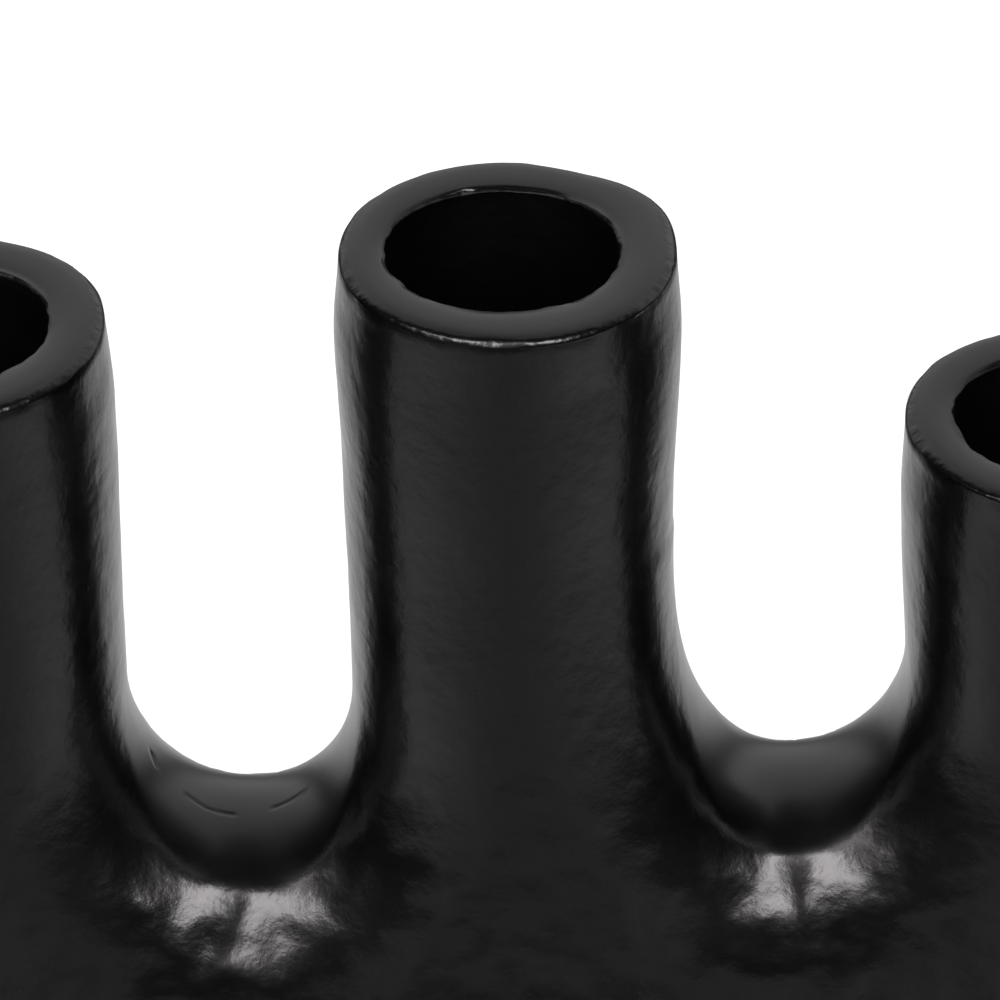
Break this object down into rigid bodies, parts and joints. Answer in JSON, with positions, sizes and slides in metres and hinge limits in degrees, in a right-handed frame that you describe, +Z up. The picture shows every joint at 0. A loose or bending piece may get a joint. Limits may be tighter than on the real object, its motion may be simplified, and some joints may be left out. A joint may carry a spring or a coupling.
{
  "type": "tabletop candelabra",
  "caption": "Black cast tabletop candelabra: tubular arms of uneven height rise from one flaring body, with U-shaped saddles between them, each arm a socket for a dinner candle.",
  "frame": {"origin": "on the table, under the middle of the foot", "axes": "+Z up; the arms stand in a row along X, the lowest at +X; -Y is the front that the picture shows"},
  "size_m": [0.18, 0.092, 0.2],
  "materials": {
    "black_coating": "satin",
    "stop_steel": "matte",
    "plate_steel": "matte",
    "screw_zinc": "satin",
    "pad_felt": "matte"
  },
  "bodies": {
    "root": {"body_casting": "black_coating", "candle_stop_left": "stop_steel", "candle_stop_middle": "stop_steel", "candle_stop_right": "stop_steel", "base_plate": "plate_steel", "base_screw_1": "screw_zinc", "base_screw_2": "screw_zinc", "base_screw_3": "screw_zinc", "base_screw_4": "screw_zinc", "foot_pad_1": "pad_felt", "foot_pad_2": "pad_felt", "foot_pad_3": "pad_felt", "foot_pad_4": "pad_felt"}
  },
  "joints": []
}
